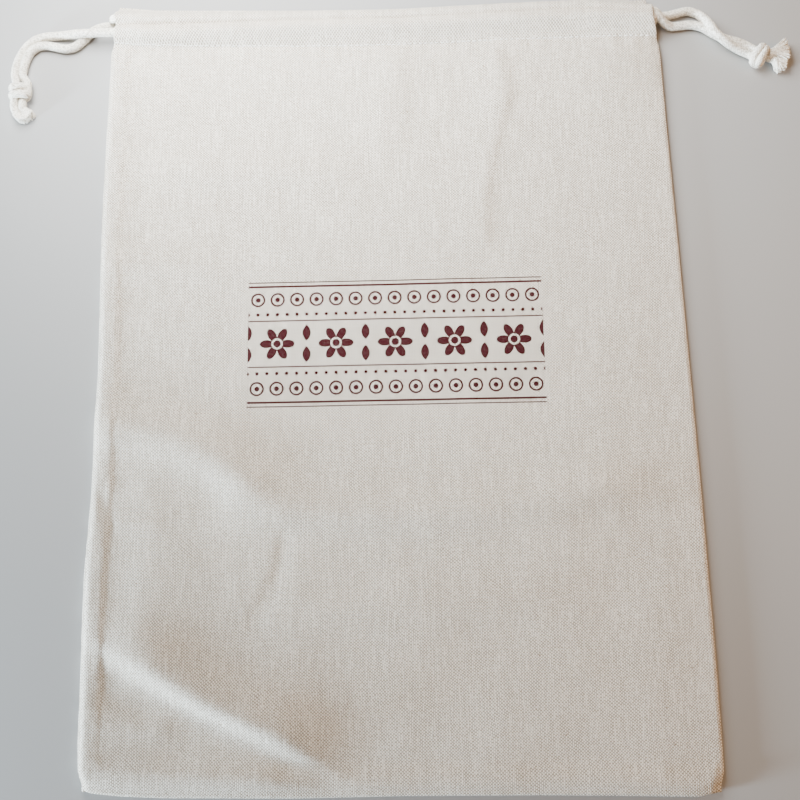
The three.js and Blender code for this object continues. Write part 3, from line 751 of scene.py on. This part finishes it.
def allowance_rise(place):
    """Rise over the seam allowances inside: a step at the wandering edge of each. The side one is soft near
    the bottom and sharper further up, with a faint trough beside it."""
    from_band = place["from_seam"] + edge_waves(place["y"], SEAM_WAVES) - ALLOWANCE
    sharp = 0.10 + 0.42 * ease(place["from_bottom"], 20, 60)
    seam_band = 0.95 * sharp * (1 - ease(from_band, -2.2, 0.8)) + 0.3 * (1 - ease(from_band, -6, 8))
    bottom_edge = place["from_bottom"] + edge_waves(place["x"], BOTTOM_WAVES)
    bottom_band = 1 - ease(bottom_edge, ALLOWANCE - 5, ALLOWANCE + 3)
    held = 0.62 + 0.38 * ripple(0 * place["x"], place["y"], 60, 5)
    trough = SEAM_TROUGH * sharp * held * bell(from_band - 0.4, 1.7)
    return ALLOWANCE_RISE * np.maximum(seam_band, bottom_band) + trough


def small_unevenness(place):
    """Soft unevenness away from the side edges, at two sizes, and the puckers that the stitches of the side
    seam and of the casing draw in the cloth, which are ripples under a bell across each seam."""
    inland = ease(np.minimum(place["from_seam"], place["from_fold"]), 0, 30)
    long_waves = LONG_UNEVEN * ripple(place["x"], place["y"], 55, 1)
    short_waves = SHORT_UNEVEN * ripple(place["x"], place["y"], 17, 2)
    seam_ripple = np.sin(place["y"] / 1.45 + 1.3 * np.sin(place["y"] / 7.0))
    seam_pucker = SEAM_PUCKER * bell(place["from_seam"] - ALLOWANCE, 4.5) * seam_ripple
    casing_ripple = ripple(place["x"], 0 * place["x"], 7, 3)
    casing_pucker = CASING_PUCKER * bell(place["down"] - STITCH_DOWN, 6) * casing_ripple
    return inland * (long_waves + short_waves) + seam_pucker + casing_pucker


def panel_top(place):
    """Height of the front panel: two thicknesses and some air, the seam allowances inside, the lift of the
    cords, the folds and the unevenness, eased down to the pressed fold at the side."""
    sides = ease(np.minimum(place["from_seam"], place["from_fold"]), -15, 25)
    lift = CASING_LIFT * sides * bell(place["down"] - HEM_DEPTH, LIFT_REACH)
    folds = sum(fold_rise(fold, place) for fold in FOLDS + CREASES)
    height = PANEL_FLAT + allowance_rise(place) + lift + folds + small_unevenness(place)
    fold_edge = 1 - ease(place["from_fold"], 0, FOLD_EDGE_REACH)
    return height * (1 - fold_edge) + (FOLD_EDGE + 0.5 * lift) * fold_edge


def soft_max(*heights):
    """The greatest of some heights, rounded over where two of them are nearly level: the logarithm of the
    sum of their exponentials, counted from the greatest."""
    highest = np.maximum.reduce(np.broadcast_arrays(*heights))
    total = sum(np.exp((height - highest) / DRAPE_BLUNT) for height in heights)
    return highest + DRAPE_BLUNT * np.log(total)


def drape(side, place):
    """Height of cloth draped over a casing's two cords: a parabola close to each, then 45 degrees down."""
    heights = []
    for run in (RUNS[side + "_left"], RUNS[side + "_right"]):
        aside = np.abs(place["down"] - np.interp(place["x"], run[:, 0], run[:, 1]))
        fall = DRAPE_CURVE * np.minimum(aside, DRAPE_REACH) ** 2 + np.maximum(0, aside - DRAPE_REACH)
        heights.append(np.interp(place["x"], run[:, 0], run[:, 2]) + RUN_HEIGHT / 2 + DRAPE_GAP - fall)
    return soft_max(*heights)


def casing_layers(place):
    """Heights at the casing: top of the back hem, underside of the front hem, and top of the front."""
    back_top = soft_max(BACK_HEM_LOW, drape("back", place) - 0.1) + SOLID_CLOTH
    front_under = soft_max(back_top + HEM_GAP, FRONT_HANG)
    front_top = soft_max(front_under + CHANNEL_LOW, drape("front", place)) + SOLID_CLOTH
    return back_top, front_under, front_top


def bag_top(place):
    """Upper surface of the bag: pressed thin at the mouth fold, draped over the cords, drawn down along
    the stitches, and running into the panel below them."""
    _, front_under, front_top = casing_layers(place)
    pressed = front_under + MOUTH_PRESSED
    casing = pressed + (front_top - pressed) * ease(place["down"], -0.4, 2.2)
    casing = casing + sum(fold_rise(fold, place) for fold in CREASES)
    casing = casing + 0.10 * ripple(place["x"], place["y"] * 0.4, 13, 7)
    top = casing + (panel_top(place) - casing) * ease(place["down"], 18.6, CASING_END)
    return top - STITCH_DIP * bell(place["down"] - STITCH_DOWN, STITCH_GROOVE)


def even_steps(stops):
    """Distances from the first stop to the last, in even steps over each gap. A stop is a distance and the
    step that follows it."""
    spans = [
        np.arange(start, end - step / 2, step) for (start, step), (end, _) in zip(stops[:-1], stops[1:])
    ]
    return np.concatenate([*spans, [stops[-1][0]]])


FRONT_ACROSS = even_steps(FRONT_STOPS) / ACROSS_END
BACK_ACROSS = even_steps(BACK_STOPS) / ACROSS_END


def near_edge(distance, reach):
    """1 at an edge, falling to 0 at a reach from it as the square of what is left."""
    return np.maximum(0, 1 - distance / reach) ** 2


def body_rows():
    """The body of the bag as rings, from below the casing to the bottom seam: front panel, lip round the
    fold, back panel, and the two lips of the side seam. The last rings close on the bottom seam along a
    quarter circle. Gives points and the place of each on the flat cloth."""
    down = even_steps(BODY_STOPS)[:, None]
    front = place_at(FRONT_ACROSS[None, :], down)
    seam_fall = near_edge(front["from_seam"], SEAM_PRESSED["reach"]) * ease(front["down"], 24, 34)
    bottom_fall = near_edge(front["from_bottom"], BOTTOM_PRESSED["reach"])
    top = bag_top(front) * (1 - SEAM_PRESSED["share"] * seam_fall)
    top = top * (1 - BOTTOM_PRESSED["share"] * bottom_fall)
    back = place_at(BACK_ACROSS[None, ::-1], down)
    back_edge = np.minimum(back["from_seam"], back["from_fold"])
    under = BACK_EDGE_RISE * near_edge(back_edge, BACK_EDGE_REACH)
    part = (np.arange(1, LIP_POINTS + 1) / (LIP_POINTS + 1))[None, :]
    fold_lip = FOLD_LIP * np.sin(np.pi * part) ** 0.8
    fold_side = [
        np.repeat(front["x"][:, -1:], LIP_POINTS, 1) + fold_lip,
        np.repeat(front["y"][:, -1:], LIP_POINTS, 1),
        top[:, -1:] + (under[:, :1] - top[:, -1:]) * part,
    ]
    seam_lips = SEAM_LIP * np.abs(np.sin(2 * np.pi * part)) ** 0.7
    seam_side = [
        np.repeat(front["x"][:, :1], LIP_POINTS, 1) - seam_lips,
        np.repeat(front["y"][:, :1], LIP_POINTS, 1),
        under[:, -1:] + (top[:, :1] - under[:, -1:]) * part,
    ]
    rings = np.concatenate([
        np.stack([front["x"], front["y"], top], -1), np.stack(fold_side, -1),
        np.stack([back["x"], back["y"], under], -1), np.stack(seam_side, -1),
    ], axis=1)
    on_cloth = np.concatenate([
        front["x"], np.repeat(front["x"][:, -1:], LIP_POINTS, 1) + 2 * part,
        BAG_WIDTH - back["x"], np.repeat(BAG_WIDTH + 2 - front["x"][:, :1], LIP_POINTS, 1),
    ], axis=1)
    turn = np.radians(BOTTOM_TURN)[:, None]
    last = rings[-1][None]
    closing = np.repeat(last, len(turn), 0)
    closing[..., 1] -= BOTTOM_LIP * np.sin(turn)
    closing[..., 2] = BOTTOM_SEAM_HEIGHT + (last[..., 2] - BOTTOM_SEAM_HEIGHT) * np.cos(turn)
    rings = np.concatenate([rings, closing])
    on_cloth = np.concatenate([on_cloth, np.repeat(on_cloth[-1:], len(turn), 0)])
    return rings, np.stack([on_cloth, rings[..., 1], 0 * on_cloth], -1)


def casing_rows(front_side):
    """One casing: up its outer face from the stitches, over the mouth fold along half a circle, and down
    inside as the hem. At both ends the cloth is turned in: half a circle, then flat under the edge."""
    across = FRONT_ACROSS if front_side else BACK_ACROSS
    down = even_steps(CASING_STOPS)[::-1][:, None]
    outer = place_at(across[None, :], down)
    hem_down = even_steps(HEM_STOPS)[:, None]
    hem = place_at(across[None, :], hem_down)
    back_top, front_under, _ = casing_layers(hem)
    if front_side:
        shift = -np.interp(outer["x"][:1], FRONT_DIP[:, 0], FRONT_DIP[:, 1])
        outer_height, hem_height = bag_top(outer), front_under
    else:
        shift = np.interp(outer["x"][:1], BACK_PEEK[:, 0], BACK_PEEK[:, 1])
        dimple = BACK_DIMPLE * bell(down - STITCH_DOWN, STITCH_GROOVE)
        outer_height, hem_height = np.broadcast_to(dimple, outer["x"].shape), back_top
    outer_y = outer["y"] + shift * near_edge(outer["down"], MOUTH_DRAWN_BACK)
    hem_y = hem["y"] + shift * near_edge(hem["down"], MOUTH_DRAWN_BACK)
    outer_row = np.stack([outer["x"], outer_y, outer_height], -1)
    hem_row = np.stack([hem["x"], hem_y, hem_height], -1)
    turn = np.radians(np.linspace(0, 180, 9)[1:-1])[:, None]
    share = (1 - np.cos(turn)) / 2
    roll_height = outer_height[-1:] + (hem_height[:1] - outer_height[-1:]) * share
    roll_y = outer_row[-1:, :, 1] + MOUTH_LIP * np.sin(turn)
    roll = np.stack([np.repeat(outer["x"][-1:], len(turn), 0), roll_y, roll_height], -1)
    points = np.concatenate([outer_row, roll, hem_row])
    facing = 1 if front_side else -1
    angle = np.concatenate([np.zeros(len(down)), turn[:, 0], np.full(len(hem_down), np.pi)])
    inward = np.stack([0 * angle, -np.sin(angle), -facing * np.cos(angle)], -1)[:, None, :]
    half = np.radians([45, 90, 135, 180])
    step_x = np.concatenate([TURN_IN * np.sin(half), TURNED_UNDER])
    step_in = np.concatenate([TURN_IN * (1 - np.cos(half)), [2 * TURN_IN, 2 * TURN_IN]])
    sewn_end = points[:, :1] + inward * step_in[None, ::-1, None]
    sewn_end[..., 0] -= step_x[None, ::-1]
    fold_end = points[:, -1:] + inward * step_in[None, :, None]
    fold_end[..., 0] += step_x[None, :]
    points = np.concatenate([sewn_end, points, fold_end], axis=1)
    run = np.concatenate([-down[:, 0], MOUTH_ROLL * share[:, 0], MOUTH_ROLL + hem_down[:, 0]])
    on_x = points[..., 0] if front_side else BAG_WIDTH - points[..., 0]
    return points, np.stack([on_x, y_at(points[..., 0], 0) + run[:, None], 0 * on_x], -1)


def weave_bag_cloth():
    """Points and faces of the body and both casings, which share a row of places where they meet, and the
    place of each point on the flat cloth."""
    body, body_place = body_rows()
    front, front_place = casing_rows(True)
    rear, rear_place = casing_rows(False)
    rear, rear_place = rear[:, ::-1], rear_place[:, ::-1]
    points = np.concatenate([grid.reshape(-1, 3) for grid in (body, front, rear)])
    places = np.concatenate([grid.reshape(-1, 3) for grid in (body_place, front_place, rear_place)])
    faces = [grid_faces(*body.shape[:2], True)[:, ::-1]]
    first = body.shape[0] * body.shape[1]
    for grid in (front, rear):
        faces.append(grid_faces(*grid.shape[:2], False) + first)
        first += grid.shape[0] * grid.shape[1]
    return points, np.concatenate(faces).tolist(), places


def weave(across, along):
    """Height of plain weave, from 0 to 1, by count of threads across and along the cloth: each thread's
    section is half a sine wave, which swells where the thread lies on top and sinks where it dives."""
    warp_on_top = 0.5 + 0.5 * sine(np.pi * (along + across.math("FLOOR", across)))
    weft_on_top = 0.5 - 0.5 * sine(np.pi * (across + along.math("FLOOR", along)))
    warp = warp_on_top * abs(sine(np.pi * across))
    weft = weft_on_top * abs(sine(np.pi * along))
    return warp.math("MAXIMUM", warp, weft), warp


def sine(value):
    """The sine of a number in a material."""
    return value.math("SINE", value)


def length_of(x, y):
    """Distance of a point from the origin, by the square root of the sum of squares."""
    return x.math("SQRT", x * x + y * y)


def repeated(x, pitch):
    """Distance from the middle of the nearest motif, where motifs stand a pitch apart."""
    return (x + pitch / 2) % pitch - pitch / 2


def inside(distance, edge):
    """1 where a distance is less than an edge's, 0 past it, and a soft step between them."""
    return distance.rise(edge + PRINT_EDGE, edge - PRINT_EDGE)


def printed_border(x, y):
    """A block-printed border: one row of six-petalled flowers with leaves between them, and on both sides
    of it a rule, a row of dots, a row of ringed dots and two more rules. 1 is full ink."""
    up = abs(y)
    cell = repeated(x, FLOWER_PITCH)
    from_heart = length_of(cell, y)
    around = x.math("ARCTAN2", y, cell)
    petal_tips = PETALS["inner"] + PETALS["length"] * abs(x.math("COSINE", 3.0 * around))
    petals = inside(from_heart - petal_tips, 0) * from_heart.rise(*FLOWER_GAP)
    marks = [petals, inside(from_heart, FLOWER_HEART)]
    leaf = (up - LEAF["middle"]) * (1 / LEAF["half_length"])
    leaf_edge = LEAF["half_width"] - LEAF["half_width"] * leaf * leaf
    marks.append(inside(FLOWER_PITCH / 2 - abs(cell) - leaf_edge, 0) * up.rise(*LEAF_GAP))
    marks.append(inside(length_of(repeated(x, DOTS["pitch"]), up - DOTS["height"]), DOTS["radius"]))
    ring = length_of(repeated(x, RINGS["pitch"]), up - RINGS["height"])
    marks += [inside(abs(ring - RINGS["radius"]), RINGS["half_line"]), inside(ring, RINGS["heart"])]
    marks += [inside(abs(up - height), half) for height, half in PRINT_RULES]
    total = marks[0]
    for mark in marks[1:]:
        total = total.math("MAXIMUM", total, mark)
    return total * inside(abs(x), PRINT_HALF) * up.rise(PRINT_TOP, PRINT_TOP - 1)


def calico_finish():
    """Unbleached cotton in plain weave: single threads a little lighter or darker, some of them thick and
    thin along their length, a few brown flecks, faint clouds of tone, painted light and shade on the
    weave's crowns and dips, and the printed border."""
    material, start = new_cloth_finish("calico")
    place = start.node("ShaderNodeAttribute", {}, out="Vector", attribute_name="on_cloth")
    x = start.node("ShaderNodeSeparateXYZ", {"Vector": place})
    y = x.beside("Y")
    wander = place.spread((0.05, 0.05, 1), detail=3.0)
    across = (x + 3.0 * wander) * (1 / WARP_PITCH)
    along = (y + 2.0 * wander) * (1 / WEFT_PITCH)
    height, warp = weave(across, along)
    warp_tone = place.spread((1 / WARP_PITCH, 0.06, 1), detail=2.0)
    weft_tone = place.spread((0.06, 1 / WEFT_PITCH, 1), detail=2.0)
    counted = {"X": across.math("FLOOR", across), "Y": along.math("FLOOR", along)}
    cell = start.node("ShaderNodeCombineXYZ", counted)
    crossing = start.node("ShaderNodeTexWhiteNoise", {"Vector": cell}, noise_dimensions="2D")
    streak = place.spread((0.22, 0.006, 1))
    fine = place.spread((0.95, 0.95, 1), detail=2.0)
    cloud = place.spread((0.035, 0.03, 1), detail=4.0)
    slub = place.spread((0.11, 0.9, 1), detail=1.0).rise(0.66, 0.76)
    fleck = place.spread((0.75, 0.62, 1), detail=0.0).rise(0.835, 0.865)
    tone = 0.62 + 1.9 * (warp_tone - 0.5) + 0.5 * (weft_tone - 0.5) + 0.5 * (fine - 0.5)
    # Painted light and shade at the scale of the threads: the weave's crowns, most of all the warp's, are
    # lighter, and the dips between threads are darker.
    tone = tone + 0.8 * (crossing - 0.5) + 3.0 * (warp - 0.32) + 0.2 * (height - 0.55)
    tone = tone + 0.45 * (streak - 0.5) + 0.4 * (cloud - 0.5) + 0.14 * slub
    colour = tone.rise(-0.3, 1.2).mix(CALICO_DARK, CALICO_LIGHT)
    colour = (0.75 * fleck).mix(colour, FLECK)
    border = printed_border(x - PRINT_CENTRE[0], y - PRINT_CENTRE[1])
    worn = 0.96 + 0.05 * height + 0.16 * (fine - 0.5)
    colour = (border * worn).mix(colour, INK)
    relief = 0.08 * height + 0.05 * warp_tone + 0.04 * weft_tone + 0.06 * slub + 0.02 * fine
    finish_with(start, colour, relief, 0.95)
    return material


points, faces, places = weave_bag_cloth()
calico = calico_finish()
bag_cloth = add_piece("bag_cloth_sheet", points, faces, calico, {"on_cloth": places})
cloth_bmesh = bmesh.new()
cloth_bmesh.from_mesh(bag_cloth.data)
bmesh.ops.remove_doubles(cloth_bmesh, verts=cloth_bmesh.verts, dist=0.02 * MM)
cloth_bmesh.to_mesh(bag_cloth.data)
cloth_bmesh.free()
thickness = bag_cloth.modifiers.new("thickness", "SOLIDIFY")
thickness.thickness = CLOTH * MM
thickness.offset = -1
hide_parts("bag_cloth")

# Casing stitches
# One row of lockstitch in cream sewing cotton holds the hem, right round the bag. Each stitch is a short
# bead of thread, sunk at both ends where it goes through the cloth.
STITCH_PITCH = 2.9
STITCH_LONG = 2.3
STITCH_THICK = 0.5
STITCH_SIDES = 8
STITCH_STATIONS = 7
STITCH_SCATTER = 0.12
STITCH_SLANT = 0.1
BACK_STITCH_HEIGHT = 0.13
STITCHED_EDGES = {"seam": -148, "fold": 146}
THREAD_LIGHT = (0.90, 0.88, 0.84, 1)
THREAD_SHADE = (0.72, 0.68, 0.62, 1)


def add_stitches(name, x_ends, height_at):
    """A row of beads: each an arc of thread along the row, thinner at its ends. Its middle lies a quarter of
    its thickness above the given height, and its ends half of it below, on a curve of fourth degree."""
    random = np.random.default_rng(11)
    x = np.arange(x_ends[0], x_ends[1], STITCH_PITCH)
    count = len(x)
    part = np.linspace(-1, 1, STITCH_STATIONS)[None, :]
    along = x[:, None] + part * STITCH_LONG / 2
    along = along + random.uniform(-STITCH_SCATTER, STITCH_SCATTER, (count, 1))
    down = STITCH_DOWN + random.uniform(-STITCH_SCATTER, STITCH_SCATTER, (count, 1))
    down = down + part * random.uniform(-STITCH_SLANT, STITCH_SLANT, (count, 1))
    middle = np.stack([along, y_at(along, down), height_at(along, down)], -1)
    middle[..., 2] += STITCH_THICK * (0.25 - 0.75 * part**4)
    thick = STITCH_THICK / 2 * np.sqrt(1 - 0.85 * part**6)
    around = (2 * np.pi * np.arange(STITCH_SIDES) / STITCH_SIDES)[None, None, :]
    rings = np.repeat(middle[:, :, None], STITCH_SIDES, 2)
    rings[..., 1] += thick[..., None] * np.cos(around)
    rings[..., 2] += thick[..., None] * np.sin(around)
    stitches = add_piece(name, rings, tube_faces(count, STITCH_STATIONS, STITCH_SIDES), sewing_cotton)


def front_height(x, down):
    """Height of the cloth's upper surface at the stitches."""
    return bag_top({
        "x": x, "y": y_at(x, down), "down": down, "from_seam": x - STITCHED_EDGES["seam"],
        "from_fold": STITCHED_EDGES["fold"] - x, "from_bottom": BAG_LENGTH - down,
    })


def back_height(x, down):
    """Height of the back panel's outer face at the stitches, in the dimple that they draw in it."""
    return np.full(np.broadcast(x, down).shape, BACK_STITCH_HEIGHT)


sewing_cotton, start = new_cloth_finish("sewing_cotton")
twist = start.node("ShaderNodeTexCoord", {}, out="Object").spread((900, 2200, 900))
finish_with(start, twist.mix(THREAD_SHADE, THREAD_LIGHT), 0.08 * twist, 0.8)
add_stitches("front_casing_stitches", (-146, 144), front_height)
add_stitches("back_casing_stitches", (-145, 143), back_height)

# Floor and light
# The floor lies a hair below the bag, so its face and the back panel's don't fall together. A cool window
# stands low at the left, a skylight over the mouth, and the warm room gives the rest.
FLOOR_HEIGHT = -0.2 * MM
FLOOR_HALF = 3
FLOOR_GREY = (0.34, 0.33, 0.32, 1)
floor_mesh = bpy.data.meshes.new("floor")
corners = [(x * FLOOR_HALF, y * FLOOR_HALF, FLOOR_HEIGHT) for x, y in ((-1, -1), (1, -1), (1, 1), (-1, 1))]
floor_mesh.from_pydata(corners, [], [(0, 1, 2, 3)])
floor = bpy.data.objects.new("floor", floor_mesh)
bpy.context.scene.collection.objects.link(floor)
paper = bpy.data.materials.new("floor")
paper.use_nodes = True
paper_surface = paper.node_tree.nodes["Principled BSDF"]
paper_surface.inputs["Base Color"].default_value = FLOOR_GREY
paper_surface.inputs["Roughness"].default_value = 0.9
floor_mesh.materials.append(paper)

for name, place, aim, size, energy, colour in (
    ("window", (-0.86, -0.40, 0.095), (0, 0.04, 0), 0.17, 58, (0.70, 0.865, 1.0)),
    ("skylight", (-0.11, 0.27, 0.23), (0.05, 0.24, 0), 0.28, 5.9, (0.93, 0.98, 1.0)),
    ("room", (0.56, -0.06, 0.36), (0.10, 0.02, 0), 0.60, 3.4, (1.0, 0.63, 0.36)),
):
    light_data = bpy.data.lights.new(name, "AREA")
    light_data.size = size
    light_data.energy = energy
    light_data.color = colour
    light = bpy.data.objects.new(name, light_data)
    light.location = place
    light.rotation_euler = (Vector(aim) - light.location).to_track_quat("-Z", "Y").to_euler()
    light.visible_camera = False
    bpy.context.scene.collection.objects.link(light)

world = bpy.data.worlds.new("room")
world.use_nodes = True
room_glow = world.node_tree.nodes["Background"]
room_glow.inputs["Color"].default_value = (1.0, 0.80, 0.60, 1)
room_glow.inputs["Strength"].default_value = 0.095
bpy.context.scene.world = world
